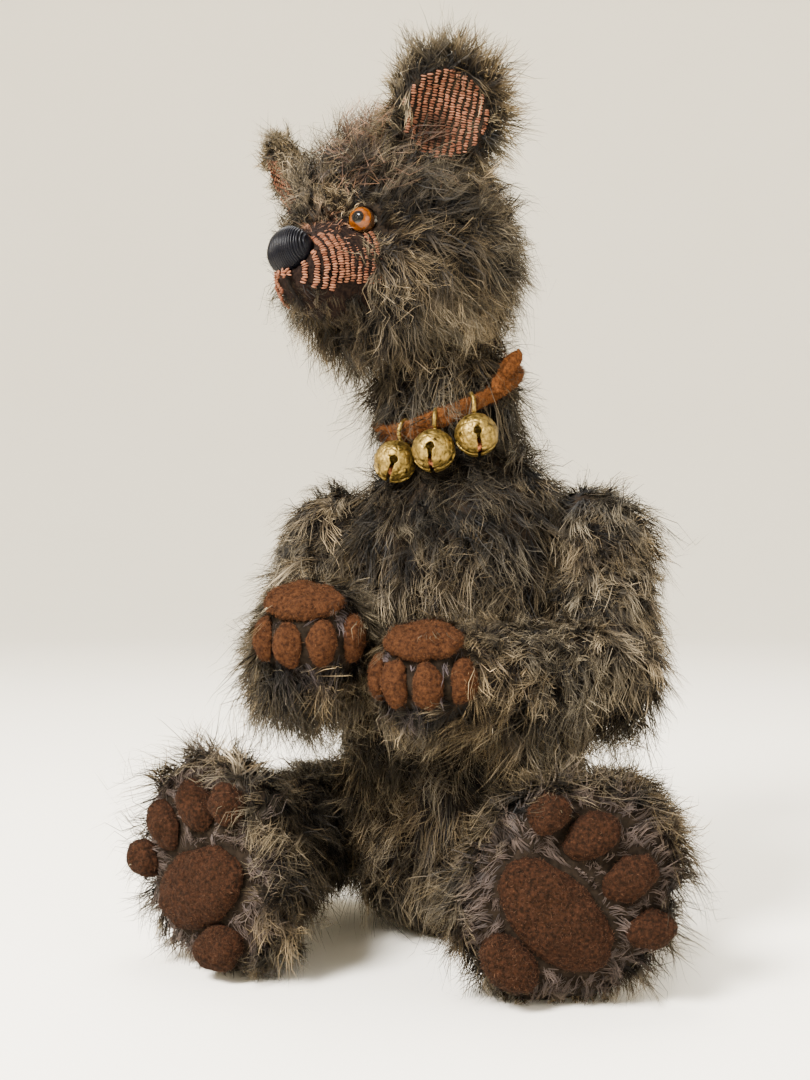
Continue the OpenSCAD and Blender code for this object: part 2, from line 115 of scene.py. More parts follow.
def new_object(name, points, faces):
    """A mesh object from points in millimetres and a list of face arrays of three or four corners."""
    mesh = bpy.data.meshes.new(name)
    mesh.vertices.add(len(points))
    mesh.vertices.foreach_set("co", (np.asarray(points) * MM).astype(np.float32).ravel())
    corners = np.concatenate([f.ravel() for f in faces]).astype(np.int32)
    sizes = np.concatenate([np.full(len(f), f.shape[1]) for f in faces])
    mesh.loops.add(len(corners))
    mesh.loops.foreach_set("vertex_index", corners)
    mesh.polygons.add(len(sizes))
    mesh.polygons.foreach_set("loop_start", np.concatenate([[0], np.cumsum(sizes)[:-1]]).astype(np.int32))
    mesh.polygons.foreach_set("use_smooth", np.ones(len(sizes), bool))
    mesh.update(calc_edges=True)
    return linked(name, mesh)


def read(items, key, kind=np.float32, width=3):
    """One property of all of a mesh's items, with width numbers to an item."""
    flat = np.empty(len(items) * width, kind)
    items.foreach_get(key, flat)
    return flat if width == 1 else flat.reshape(-1, width)


def points_of(thing):
    return read(thing.data.vertices, "co").astype(float) / MM


def set_points(thing, points):
    thing.data.vertices.foreach_set("co", (points * MM).astype(np.float32).ravel())
    thing.data.update()


def swell(thing, rise):
    """Moves each point along its normal by rise(points)."""
    points = points_of(thing)
    set_points(thing, points + normals_of(thing) * np.reshape(rise(points), (-1, 1)))


def normals_of(thing):
    return read(thing.data.vertex_normals, "vector").astype(float)


def surface_of(thing):
    return points_of(thing), triangles_of(thing)


def triangles_of(thing):
    thing.data.calc_loop_triangles()
    return read(thing.data.loop_triangles, "vertices", np.int32)


def stacked(surfaces):
    """Points and triangles of several (points, triangles) pairs as one."""
    points, faces, base = [], [], 0
    for p, f in surfaces:
        points.append(p)
        faces.append(f + base)
        base += len(p)
    return np.vstack(points), np.vstack(faces)


def gathered(names, extra=()):
    """Points and triangles of several CAD nodes, and of extra surfaces, as one."""
    return stacked([surface_of(NODES[n]) for n in names] + list(extra))


def ring_quads(around, rings):
    """Quads between rings of points that follow one another, with around points to a ring."""
    i = np.arange(around)
    j = (i + 1) % around
    return np.vstack([np.c_[k * around + i, k * around + j, (k + 1) * around + j, (k + 1) * around + i]
                      for k in range(rings - 1)])


def coin(middle, axis, radius, half):
    """A closed round plug, used to close the hole that a joint's bolt passes through."""
    around = 24
    axis = unit(axis)
    side = unit(np.cross(axis, [0.3, 0.5, 0.8]))
    other = np.cross(axis, side)
    turn = np.linspace(0, 2 * math.pi, around, endpoint=False)
    ring = radius * (np.cos(turn)[:, None] * side + np.sin(turn)[:, None] * other)
    points = np.vstack([middle - half * axis + ring, middle + half * axis + ring,
                        middle - half * axis, middle + half * axis])
    i = np.arange(around)
    j = (i + 1) % around
    wall = np.vstack([np.c_[i, j, j + around], np.c_[i, j + around, i + around]])
    return points, np.vstack([wall, end_fans(around, 2)])


def largest_island(points, faces):
    """The connected surface with the most points, which is the outside of the piece."""
    label = np.arange(len(points))
    edges = np.vstack([faces[:, [0, 1]], faces[:, [1, 2]], faces[:, [2, 3]]])
    while True:
        low = np.minimum(label[edges[:, 0]], label[edges[:, 1]])
        before = label.copy()
        np.minimum.at(label, edges[:, 0], low)
        np.minimum.at(label, edges[:, 1], low)
        label = label[label]
        if np.array_equal(before, label):
            break
    kept = label == np.bincount(label).argmax()
    index = np.cumsum(kept) - 1
    return points[kept], index[faces[kept[faces[:, 0]]]]


def remeshed(name, names, voxel, extra=(), relax=3, outside_only=True):
    """One even skin over the CAD nodes."""
    points, faces = gathered(names, extra)
    made = new_object(name, points, [faces])
    grid = made.modifiers.new("even", "REMESH")
    grid.mode = "VOXEL"
    grid.voxel_size = voxel * MM
    if relax:
        soft = made.modifiers.new("soft", "SMOOTH")
        soft.factor = 0.5
        soft.iterations = relax
    ready = made.evaluated_get(bpy.context.evaluated_depsgraph_get())
    mesh = ready.to_mesh()
    p = read(mesh.vertices, "co").astype(float) / MM
    f = read(mesh.loops, "vertex_index", np.int32, 1).reshape(-1, 4)
    ready.to_mesh_clear()
    bpy.data.objects.remove(made)
    if outside_only:
        p, f = largest_island(p, f)
    return new_object(name, p, [f])


def tree_of(points, faces):
    return BVHTree.FromPolygons([tuple(p) for p in points], [tuple(int(i) for i in f) for f in faces])


def kd_of(points):
    tree = KDTree(len(points))
    for i, p in enumerate(points):
        tree.insert(p, i)
    tree.balance()
    return tree


def joined(name, parts):
    """One object from (points, faces) parts."""
    points, by_size, base = [], {}, 0
    for p, faces in parts:
        points.append(p)
        for f in faces:
            by_size.setdefault(f.shape[1], []).append(f + base)
        base += len(p)
    return new_object(name, np.vstack(points), [np.vstack(v) for _, v in sorted(by_size.items())])


def end_fans(around, rings):
    """Triangles that close the first and the last ring onto the two points that follow the rings."""
    i = np.arange(around)
    j = (i + 1) % around
    last = (rings - 1) * around
    return np.vstack([np.c_[j, i, np.full(around, rings * around)],
                      np.c_[last + i, last + j, np.full(around, rings * around + 1)]])


def ball_rings(lat, around):
    """Points of a unit ball in rings about its X axis, at the angles lat from +X."""
    lon = np.linspace(0, 2 * math.pi, around, endpoint=False)
    la, lo = np.meshgrid(lat, lon, indexing="ij")
    return np.stack([np.cos(la), np.sin(la) * np.cos(lo), np.sin(la) * np.sin(lo)], -1).reshape(-1, 3)


def bead(middle, along, up, out, sizes, around=7, rows=5):
    """A small closed egg with its three axes and half sizes: one float of a woven thread."""
    local = ball_rings(np.linspace(0, math.pi, rows + 1)[1:-1], around)
    local = np.vstack([local, [[1, 0, 0], [-1, 0, 0]]]) * sizes
    points = middle + local @ np.array([along, up, out])
    return points, [ring_quads(around, rows - 1), end_fans(around, rows - 1)]


def tube(path, radii, sides=8, flat=1.0, up=(0, 0, 1)):
    """A closed tube along a path; flat below 1 makes it a band that is thin along up."""
    path = np.asarray(path, float)
    tangent = unit(np.gradient(path, axis=0))
    up = np.broadcast_to(np.asarray(up, float), path.shape)
    side = unit(np.cross(tangent, up))
    lift = np.cross(side, tangent)
    radii = np.broadcast_to(radii, len(path))
    turn = np.linspace(0, 2 * math.pi, sides, endpoint=False)
    ring = np.cos(turn)[None, :, None] * side[:, None] + flat * np.sin(turn)[None, :, None] * lift[:, None]
    points = (path[:, None] + radii[:, None, None] * ring).reshape(-1, 3)
    points = np.vstack([points, path[:1], path[-1:]])
    return points, [ring_quads(sides, len(path)), end_fans(sides, len(path))]


# ---- materials

def mottled(name, dark, light, scale, roughness, metallic=0.0, bump=0.0, low=0.35, high=0.65, coat=0.0,
            specular=0.25):
    """A surface that runs unevenly between two colours, with a fine grain to match."""
    made = bpy.data.materials.new(name)
    made.use_nodes = True
    nodes, links = made.node_tree.nodes, made.node_tree.links
    surface = nodes["Principled BSDF"]
    place = nodes.new("ShaderNodeTexCoord")
    grain = nodes.new("ShaderNodeTexNoise")
    grain.inputs["Scale"].default_value = scale
    grain.inputs["Detail"].default_value = 6.0
    grain.inputs["Roughness"].default_value = 0.65
    ramp = nodes.new("ShaderNodeValToRGB")
    for stop, position, colour in zip(ramp.color_ramp.elements, (low, high), (dark, light)):
        stop.position = position
        stop.color = (*colour, 1)
    links.new(place.outputs["Object"], grain.inputs["Vector"])
    links.new(grain.outputs["Fac"], ramp.inputs["Fac"])
    links.new(ramp.outputs["Color"], surface.inputs["Base Color"])
    surface.inputs["Roughness"].default_value = roughness
    surface.inputs["Metallic"].default_value = metallic
    surface.inputs["Coat Weight"].default_value = coat
    surface.inputs["Specular IOR Level"].default_value = specular
    if bump:
        rise = nodes.new("ShaderNodeBump")
        rise.inputs["Strength"].default_value = bump
        rise.inputs["Distance"].default_value = 0.0003
        links.new(grain.outputs["Fac"], rise.inputs["Height"])
        links.new(rise.outputs["Normal"], surface.inputs["Normal"])
    return made


def painted(name, roughness, specular):
    """A surface that takes its colour from the mesh's own shade layer, as dyed pile and threads do; the
    pile's layer also holds painted shade.
    """
    group = bpy.data.node_groups.new(name + "_surface", "ShaderNodeTree")
    group.interface.new_socket("Shader", in_out="OUTPUT", socket_type="NodeSocketShader")
    shade = group.nodes.new("ShaderNodeVertexColor")
    shade.layer_name = "shade"
    surface = group.nodes.new("ShaderNodeBsdfPrincipled")
    surface.inputs["Roughness"].default_value = roughness
    surface.inputs["Specular IOR Level"].default_value = specular
    end = group.nodes.new("NodeGroupOutput")
    group.links.new(shade.outputs["Color"], surface.inputs["Base Color"])
    group.links.new(surface.outputs["BSDF"], end.inputs["Shader"])
    made = bpy.data.materials.new(name)
    made.use_nodes = True
    tree = made.node_tree
    tree.nodes.remove(tree.nodes["Principled BSDF"])
    held = tree.nodes.new("ShaderNodeGroup")
    held.node_tree = group
    tree.links.new(held.outputs["Shader"], tree.nodes["Material Output"].inputs["Surface"])
    return made


CLOTH = mottled("mohair_cloth", (0.004, 0.003, 0.002), (0.014, 0.01, 0.007), 900, 0.95, specular=0.03)
PILE = painted("mohair_pile", 0.6, 0.12)
THREAD = painted("woven_thread", 0.8, 0.08)
MUZZLE_GROUND = mottled("muzzle_ground", (0.002, 0.001, 0.001), (0.012, 0.007, 0.005), 1600, 0.9,
                        specular=0.05)
PAW_SUEDE = mottled("paw_suede", (0.01, 0.004, 0.0018), (0.045, 0.0175, 0.007), 1500, 0.95, bump=0.9,
                    specular=0.05)
FOOT_SUEDE = mottled("foot_suede", (0.006, 0.003, 0.0015), (0.03, 0.012, 0.006), 1700, 0.95, bump=0.9,
                     low=0.4, high=0.7, specular=0.05)
LACE_SUEDE = mottled("lace_suede", (0.026, 0.0085, 0.0023), (0.1, 0.035, 0.009), 1400, 0.95, bump=0.9,
                     specular=0.06)
BRASS = mottled("crackled_brass", (0.028, 0.017, 0.004), (0.31, 0.21, 0.055), 900, 0.5, metallic=1.0,
                low=0.34, high=0.66)
NOSE_THREAD = mottled("nose_thread", (0.0006, 0.0006, 0.0012), (0.003, 0.003, 0.005), 2500, 0.34, low=0.3,
                      high=0.7, specular=0.09)
IRIS = mottled("amber_glass", (0.035, 0.008, 0.0004), (0.15, 0.04, 0.0015), 900, 0.15, coat=0.3, low=0.3,
               high=0.7, specular=0.12)
PUPIL = mottled("black_glass", (0.001, 0.001, 0.001), (0.003, 0.002, 0.002), 300, 0.08, coat=0.35,
                specular=0.15)
EYE_RIM = mottled("eye_rim", (0.012, 0.006, 0.003), (0.05, 0.022, 0.008), 900, 0.25, coat=0.6)
STUFFING = mottled("stuffing", (0.55, 0.5, 0.4), (0.8, 0.76, 0.66), 600, 0.95, bump=0.6)
HARDBOARD = mottled("hardboard", (0.16, 0.09, 0.045), (0.3, 0.19, 0.1), 900, 0.8, bump=0.3)
STEEL = mottled("steel", (0.36, 0.36, 0.37), (0.62, 0.62, 0.63), 1200, 0.32, metallic=1.0)
COPPER = mottled("copper", (0.12, 0.03, 0.012), (0.5, 0.19, 0.09), 900, 0.45, metallic=1.0)
SHOT_BAG = mottled("shot_bag", (0.4, 0.36, 0.29), (0.62, 0.58, 0.48), 1500, 0.9, bump=0.5)
DARK_THREAD = mottled("dark_thread", (0.002, 0.0015, 0.0012), (0.009, 0.007, 0.006), 2000, 0.85,
                      specular=0.04)


def dress(thing, *materials):
    thing.data.materials.clear()
    for material in materials:
        thing.data.materials.append(material)


def paint(thing, colours):
    """Colours, one to a point, in the layer that painted materials read."""
    layer = thing.data.color_attributes.new("shade", "FLOAT_COLOR", "POINT")
    full = np.ones((len(colours), 4), np.float32)
    full[:, :3] = np.clip(colours, 0, 1)
    layer.data.foreach_set("color", full.ravel())


def place(thing, material, slot, body, node=None, fill=None):
    """The material, the body to ride on and the CAD node that it stands for, which it hides; slot and fill
    are not used.
    """
    dress(thing, *(material if isinstance(material, tuple) else (material,)))
    if node:
        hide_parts(node)
    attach(thing, body)


# ---- the head's own frame

HEAD_TURN, HEAD_TILT = math.radians(27), math.radians(10)
SKULL_LIFT, SKULL_FORWARD = 18.8, 6.0


def in_head(v):
    """A vector of the head's own frame, where +X is the bear's left and -Y is where it looks."""
    x = v[0] * math.cos(HEAD_TILT) - v[2] * math.sin(HEAD_TILT)
    z = v[0] * math.sin(HEAD_TILT) + v[2] * math.cos(HEAD_TILT)
    return np.array([x * math.cos(HEAD_TURN) + v[1] * math.sin(HEAD_TURN),
                     v[1] * math.cos(HEAD_TURN) - x * math.sin(HEAD_TURN), z])


HEAD_AXES = np.array([in_head((1, 0, 0)), in_head((0, 1, 0)), in_head((0, 0, 1))])
SKULL = JOINTS["head_turn"] + in_head((0, -SKULL_FORWARD, SKULL_LIFT))
MUZZLE_BACK, MUZZLE_TIP = np.array([0, -12, -5.5]), np.array([0, -22.5, -7.2])
MUZZLE_R = (10.8, 7.0)
EYE_R, EYE_AT = 2.4, np.array([8.4, -18.4, 0.6])
NOSE_AT, NOSE_SIZE = np.array([0, -28.9, -3.9]), np.array([4.7, 3.3, 4.1])
EAR_AT = np.array([20.3, -5.5, 19.0])


def to_head(points):
    return (points - SKULL) @ HEAD_AXES.T


def from_pair(h, at):
    """Distance of head points from at or from its mirror place on the other side, whichever is nearer."""
    return np.linalg.norm(np.abs(h) * [1, 0, 0] + h * [0, 1, 1] - at, axis=1)


def in_plane(p, middle, facing):
    """What is left of p - middle without its part along facing."""
    return p - middle - np.outer((p - middle) @ facing, facing)


def flat_frame(points, way):
    """Middle of flat-lying points and the direction across them, on the side of way."""
    middle = points.mean(0)
    across = np.linalg.svd(points - middle, full_matrices=False)[2][2]
    return middle, across if across @ way > 0 else -across


def from_head(points):
    return np.asarray(points, float) @ HEAD_AXES + SKULL


def muzzle_angle(h):
    """Degrees round the muzzle's axis from its top, at head points."""
    axis = MUZZLE_TIP - MUZZLE_BACK
    along = dot(h - MUZZLE_BACK, axis) / dot(axis, axis)
    off = h - (MUZZLE_BACK + along[:, None] * axis)
    return np.degrees(np.arctan2(np.abs(off[:, 0]), off[:, 2]))


# ---- stuffed cloth

PLUG_R, PLUG_HALF = 2.6, 1.0
NECK_LEAN = math.radians(5)
NECK_AXIS = np.array([0, -math.sin(NECK_LEAN), math.cos(NECK_LEAN)])
HEAD_UP = in_head((0, 0, 1))


def plug(joint, axis):
    return coin(JOINTS[joint], axis, PLUG_R, PLUG_HALF)


# The bolt holes that are closed in each body's cloth
PLUGS = {
    "torso": [plug(joint, SIDEWAYS) for joint in LIMB_JOINTS.values()] + [plug("neck_turn", NECK_AXIS)],
    "neck": [plug("neck_turn", NECK_AXIS), plug("head_turn", HEAD_UP)],
    "head": [plug("head_turn", HEAD_UP)],
}
PLUGS.update({limb: [plug(joint, SIDEWAYS)] for limb, joint in LIMB_JOINTS.items()})


def sew_cloth(body):
    """The stuffed cloth of one body, a little lumpy and just inside its CAD skin."""
    stem = "body" if body == "torso" else body
    voxel = 0.7 if body == "torso" else 0.6
    made = remeshed(body + "_cloth", [stem + "_skin", stem + "_stuffing"], voxel, PLUGS[body])
    points, normals = points_of(made), normals_of(made)
    lumps = 0.25 * ripple(points, 9, 11) + 0.15 * ripple(points, 4, 12)
    points = points + normals * np.minimum(lumps, 0.25)[:, None] - normals * 0.1
    points[:, 2] = np.maximum(points[:, 2], 0.02)
    set_points(made, points)
    place(made, CLOTH, "mohair", body, stem + "_skin", fill=0.9)
    return made


def sew_ear(side):
    made = remeshed(side + "_ear_cloth", [side + "_ear"], 0.4)
    place(made, CLOTH, "mohair", "head", side + "_ear", fill=0.3)
    return made


cloths = {body: sew_cloth(body) for body in PLUGS}
ears = {side: sew_ear(side) for side in SIDES}


# ---- what the pile has to keep clear of

PADS = {side + "_arm": [side + "_palm_pad", side + "_finger_pads"] for side in SIDES}
PADS.update({side + "_leg": [side + "_sole_pad", side + "_heel_pad", side + "_toe_pads"] for side in SIDES})
BODY_SURFACES = {b: [surface_of(c)] for b, c in cloths.items()}
for body, names in PADS.items():
    BODY_SURFACES[body] += [surface_of(NODES[n]) for n in names]
BODY_SURFACES["neck"].append(surface_of(NODES["collar_lace"]))
BODY_SURFACES["head"] += [surface_of(ears["right"]), surface_of(ears["left"]), surface_of(NODES["nose"])]
for bell in BELLS:
    BODY_SURFACES[bell] = [surface_of(NODES[bell])]


def obstacle_tree(but):
    """The surfaces of every other body."""
    others = [surface for body, parts in BODY_SURFACES.items() if body != but for surface in parts]
    return tree_of(*stacked(others))


PAD_RANGE = 12.0


def pad_distance(body, points):
    """How far each point is from the nearest pad of its own paw or foot, up to PAD_RANGE."""
    tree = tree_of(*gathered(PADS[body]))
    return np.array([tree.find_nearest(Vector(q), PAD_RANGE)[3] or PAD_RANGE for q in points])


LOW = np.array(start_box[0]) / MM
HIGH = np.array(start_box[1]) / MM
# How far the pile may stand out of the CAD box
REACH_ROOM = 0.03 * (HIGH - LOW) + 9.0


# ---- pile

# Places along a fibre where it has points, and how wide it is there
PILE_STEPS = np.array([0.0, 0.3, 0.58, 0.82, 1.0])
PILE_TAPER = np.array([1.0, 0.95, 0.8, 0.5])
LONGEST_FIBRE = 15.0
PILE_SHARE = 1.0
THICKER = 1.0

# Root to tip colours of a fibre; the near-black root is painted shade deep in the pile
ROOT_SHADE = np.array([0.002, 0.0015, 0.001])
MID_SHADE = np.array([0.0135, 0.0098, 0.0058])
TIP_SHADE = np.array([0.155, 0.119, 0.071])
# Tints that cool and warm the middle and the tip of a fibre, from patch to patch
MID_COOL, MID_WARM = np.array([0.92, 0.98, 1.05]), np.array([1.1, 1.0, 0.88])
TIP_COOL, TIP_WARM = np.array([0.9, 0.97, 1.08]), np.array([1.05, 1.0, 0.9])

# A lock is a tuft of neighbours. These say how far it turns from the comb, how unevenly long, light and
# curled it is, how near its middle a fibre is drawn, and how far its curl swings
LOCK_TURN, LOCK_LENGTH, LOCK_LIGHT, LOCK_CURL = 0.66, 0.2, 0.46, (0.4, 1.5)
LOCK_PULL, LOCK_SWING, LOCK_REACH = (0.62, 1.0), 0.2, 2.2
# How far a fibre falls, runs on along the comb and settles on the cloth by its tip
WEIGHT, SWEEP, SETTLE = 0.18, 0.26, 0.16
# A few fibres stray from their lock, and are a little longer
STRAY_SHARE, STRAY_STRETCH = 0.04, 1.2


def scattered(thing, count, rng):
    """Even random places on a surface: points and their smooth normals."""
    points, tris, normals = points_of(thing), triangles_of(thing), normals_of(thing)
    corner = points[tris]
    area = np.linalg.norm(np.cross(corner[:, 1] - corner[:, 0], corner[:, 2] - corner[:, 0]), axis=1)
    pick = rng.choice(len(tris), count, p=area / area.sum())
    a, b = np.sqrt(rng.random((2, count)))
    b = b * b
    weights = np.stack([1 - a, a * (1 - b), a * b], -1)[:, :, None]
    return (corner[pick] * weights).sum(1), unit((normals[tris[pick]] * weights).sum(1))


def nearest_index(centres, points):
    tree = kd_of(centres)
    return np.array([tree.find(p)[1] for p in points])


def ribbons(name, path, across, width, shade, material, slot, body):
    """Tapered flat fibres along path (fibre, step, xyz), with a colour at each step."""
    count, steps = path.shape[:2]
    taper = PILE_TAPER[None, :, None] * width[:, None, None] * 0.5
    left = path[:, :-1] - across[:, None] * taper
    right = path[:, :-1] + across[:, None] * taper
    per = 2 * (steps - 1) + 1
    points = np.empty((count, per, 3))
    points[:, 0:-1:2] = left
    points[:, 1:-1:2] = right
    points[:, -1] = path[:, -1]
    colours = np.empty((count, per, 3))
    colours[:, 0:-1:2] = shade[:, :-1]
    colours[:, 1:-1:2] = shade[:, :-1]
    colours[:, -1] = shade[:, -1]
    base = (np.arange(count) * per)[:, None]
    quads = np.concatenate([base + np.array([k, k + 1, k + 3, k + 2]) for k in range(0, per - 3, 2)])
    tips = base + np.array([per - 3, per - 2, per - 1])
    made = new_object(name, points.reshape(-1, 3), [quads, tips])
    paint(made, colours.reshape(-1, 3))
    place(made, material, slot, body)


# A root needs this much room above it, and a tip stops this far from another body
ROOT_ROOM, TIP_ROOM = 1.3, 0.4


def cut_back(roots, normals, start, long, tree):
    """Fibres that have room to stand, and every length shortened where another body is in the way."""
    free = np.ones(len(roots), bool)
    for i in range(len(roots)):
        begin = Vector(roots[i] + normals[i] * 0.2)
        if tree.ray_cast(begin, Vector(normals[i]), ROOT_ROOM)[0] is not None:
            free[i] = False
            continue
        hit = tree.ray_cast(begin, Vector(start[i]), float(long[i]) + 1.0)
        if hit[0] is not None:
            long[i] = max(0.2 * long[i], min(long[i], hit[3] - TIP_ROOM))
    return free, long


def fibre_shades(roots, light, seed):
    """Dark root, brown middle and pale tip of each fibre, warmer and lighter in patches: partly the fibre's
    own colour, partly painted shade, as the near-black root and the long dark lower part stand for the
    shade deep in the pile.
    """
    warm = np.clip(0.5 + 0.5 * ripple(roots, 14, seed + 9)[:, None], 0, 1)
    middle = MID_SHADE * mix(MID_COOL, MID_WARM, warm)
    tip = TIP_SHADE * mix(TIP_COOL, TIP_WARM, warm)
    light = light * np.exp(0.58 * ripple(roots, 9, seed + 5) - 0.15)
    # Painted shade: a long dark run up from the root
    low = np.clip(PILE_STEPS / 0.6, 0, 1)[None, :, None] ** 1.8
    top = np.clip((PILE_STEPS - 0.5) / 0.5, 0, 1)[None, :, None] ** 1.3
    return mix(mix(ROOT_SHADE, middle[:, None], low), tip[:, None], top) * light[:, None, None]


def grow(name, body, thing, count, length, comb, seed, keep=None, tint=None, lift=0.36, lock=1.9, curl=1.0,
         width=0.16, tree=None):
    """Pile on a cloth: fibres in locks that lean along comb and stop short of other bodies."""
    rng = np.random.default_rng(seed)
    roots, normals = scattered(thing, int(count * PILE_SHARE), rng)
    if keep is not None:
        kept = keep(roots, normals)
        roots, normals = roots[kept], normals[kept]
    lean = comb(roots, normals)
    lean = lean - normals * dot(lean, normals)[:, None]
    lean = lean / np.maximum(np.linalg.norm(lean, axis=1, keepdims=True), 0.35)

    # what the fibres of a lock share
    lock_count = max(8, int(len(roots) / (3.0 * lock * lock * PILE_SHARE)))
    centre = roots[rng.choice(len(roots), min(lock_count, len(roots)), replace=False)]
    member = nearest_index(centre, roots)
    lock_turn = rng.normal(size=(len(centre), 3)) * LOCK_TURN
    lock_long = np.exp(rng.normal(0, LOCK_LENGTH, len(centre)))
    lock_curl = rng.uniform(*LOCK_CURL, len(centre)) * curl
    lock_phase = rng.uniform(0, 2 * math.pi, len(centre))
    lock_light = np.exp(rng.normal(-0.06, LOCK_LIGHT, len(centre)))
    stray = rng.random(len(roots)) < STRAY_SHARE

    # the way that each fibre starts, and its length
    swirl = np.stack([ripple(roots, 15, seed + k) for k in (1, 2, 3)], -1) * 0.3
    start = unit(normals * lift + lean * (1 - lift) + lock_turn[member] + swirl
                 + rng.normal(size=roots.shape) * np.where(stray, 0.4, 0.16)[:, None])
    start = unit(start + normals * np.maximum(0.12 - dot(start, normals), 0)[:, None])
    long = length(roots, normals) * lock_long[member] * rng.uniform(0.72, 1.12, len(roots))
    long = np.minimum(long * np.where(stray, STRAY_STRETCH, 1.0), LONGEST_FIBRE)
    free, long = cut_back(roots, normals, start, long, tree or obstacle_tree(body))
    roots, normals, start, lean = roots[free], normals[free], start[free], lean[free]
    long, member, stray = long[free], member[free], stray[free]
    amount = len(roots)

    # its path: it falls, curls, joins its lock and stays off the cloth and the floor
    t = PILE_STEPS[None, :, None]
    fall = DOWN * WEIGHT + lean * SWEEP - normals * SETTLE
    path = roots[:, None] + long[:, None, None] * (start[:, None] * t + fall[:, None] * t * t)
    side = unit(np.cross(start, normals + rng.normal(size=(amount, 3)) * 0.05))
    other = np.cross(start, side)
    turn = lock_phase[member][:, None] + 2 * math.pi * lock_curl[member][:, None] * PILE_STEPS[None] * 0.9
    swing = (LOCK_SWING * long * lock_curl[member])[:, None] * PILE_STEPS[None] ** 1.2
    path += (np.cos(turn) - np.cos(turn[:, :1]))[:, :, None] * swing[:, :, None] * side[:, None]
    path += (np.sin(turn) - np.sin(turn[:, :1]))[:, :, None] * swing[:, :, None] * other[:, None]
    gather = np.where(stray, 0.0, rng.uniform(*LOCK_PULL, amount))
    pull = centre[member] - roots
    pull = pull * np.minimum(1, LOCK_REACH / np.maximum(np.linalg.norm(pull, axis=1), 0.01))[:, None]
    path += pull[:, None] * (gather[:, None] * PILE_STEPS[None] ** 1.1)[:, :, None]
    path += rng.normal(size=path.shape) * (0.04 * long)[:, None, None] * t
    height = dot(path - roots[:, None], normals[:, None])
    least = 0.16 * long[:, None] * PILE_STEPS[None]
    path += normals[:, None] * np.maximum(least - height, 0)[:, :, None]
    path[:, :, 2] = np.maximum(path[:, :, 2], 0.3)
    path = np.minimum(np.maximum(path, LOW - REACH_ROOM), HIGH + REACH_ROOM)

    across = unit(side + other * rng.normal(0, 0.55, amount)[:, None])
    shade = fibre_shades(roots, lock_light[member] * np.exp(rng.normal(0, 0.2, amount)), seed)
    if tint is not None:
        shade = tint(roots, normals, shade)
    thick = width * rng.uniform(0.7, 1.15, amount) * THICKER
    ribbons(name, path, across, thick, shade, PILE, "mohair", body)


# ---- body pile

def body_length(p, n):
    seat = smooth(2, 12, p[:, 2])
    top = smooth(84, 93, p[:, 2])
    return mix(2.0, 7.0, seat) * (1 + 0.45 * top) + 1.2 * ripple(p, 18, 31)


def body_comb(p, n):
    out = unit(p * [1, 1, 0] + [0, 3, 0])
    return DOWN + 0.25 * out + 0.5 * ripple(p, 20, 32)[:, None] * SIDEWAYS


def off_the_seat(p, n):
    return ~((p[:, 2] < 1.2) & (n[:, 2] < -0.8))


def body_painted_shade(p, n, shade):
    """Painted shade, darker where the legs, arms and chin shade the cloth, so the pile looks dense there.
    """
    chest = 1 - 0.65 * smooth(62, 84, p[:, 2]) * (n[:, 1] < 0)
    lap = 1 - 0.35 * (1 - smooth(8, 26, p[:, 2]))
    return shade * (chest * lap)[:, None, None]


torso_tree = obstacle_tree("torso")
grow("body_fur_front", "torso", cloths["torso"], 42000, body_length, body_comb, 101,
     lambda p, n: off_the_seat(p, n) & (p[:, 1] < -2), body_painted_shade, tree=torso_tree)
grow("body_fur_back", "torso", cloths["torso"], 42000, body_length, body_comb, 102,
     lambda p, n: off_the_seat(p, n) & (p[:, 1] >= -2), body_painted_shade, tree=torso_tree)


# ---- neck pile

# Painted shade: the neck's pile is darkened to 0.42 all over for the shade under the head
grow("neck_fur", "neck", cloths["neck"], 9000, lambda p, n: np.full(len(p), 9.0),
     lambda p, n: DOWN + 0.4 * n, 111, tint=lambda p, n, shade: shade * 0.42)


# ---- head pile

def muzzle_bald(h):
    """Where the woven panels and the nose leave the muzzle without pile."""
    angle = muzzle_angle(h)
    outside = np.linalg.norm(h, axis=1) > 20.9
    sides = (angle > 51) & (angle < 122) & outside & (h[:, 1] < -17)
    tip = (h[:, 1] < -25.2) & (angle < 100)
    return sides | tip


def head_keep(p, n):
    h = to_head(p)
    on_neck = (h[:, 2] < -17.8) & (n[:, 2] < -0.9)
    return ~muzzle_bald(h) & (from_pair(h, EYE_AT) > 2.9) & (from_pair(h, EAR_AT) > 5.0) & ~on_neck


def head_length(p, n):
    h = to_head(p)
    angle = muzzle_angle(h)
    size = 7.0 + 0.9 * ripple(p, 12, 41)
    cheek = smooth(6, 13, np.abs(h[:, 0])) * smooth(8, -6, h[:, 2]) * smooth(-19, -12, h[:, 1])
    size = mix(size, 9.0, cheek)
    crest = smooth(6, 13, h[:, 2]) * smooth(6, 0, h[:, 1]) * smooth(17, 11, np.abs(h[:, 0]))
    size = mix(size, 15.0, crest)
    muzzle_top = smooth(-15, -21, h[:, 1]) * (angle < 60)
    size = mix(size, mix(4.6, 2.6, smooth(-19, -25, h[:, 1])), muzzle_top)
    chin = smooth(-14, -19, h[:, 1]) * (angle > 110)
    size = mix(size, 3.0, chin)
    return mix(2.0, size, smooth(2.6, 7.5, from_pair(h, EYE_AT)))


def head_comb(p, n):
    h = to_head(p)
    away = unit(h - np.array([0, -27.0, -5.0]))
    low = smooth(3, -9, h[:, 2])[:, None]
    back = smooth(-2, 12, h[:, 1])[:, None]
    rise = np.array([0, 0.35, 0.9])
    lean = away + 0.6 * rise * (1 - low) * (1 - back)
    lean = lean + np.array([0, 0.1, -1.3]) * low + np.array([0, 0.2, -0.8]) * back
    return lean @ HEAD_AXES


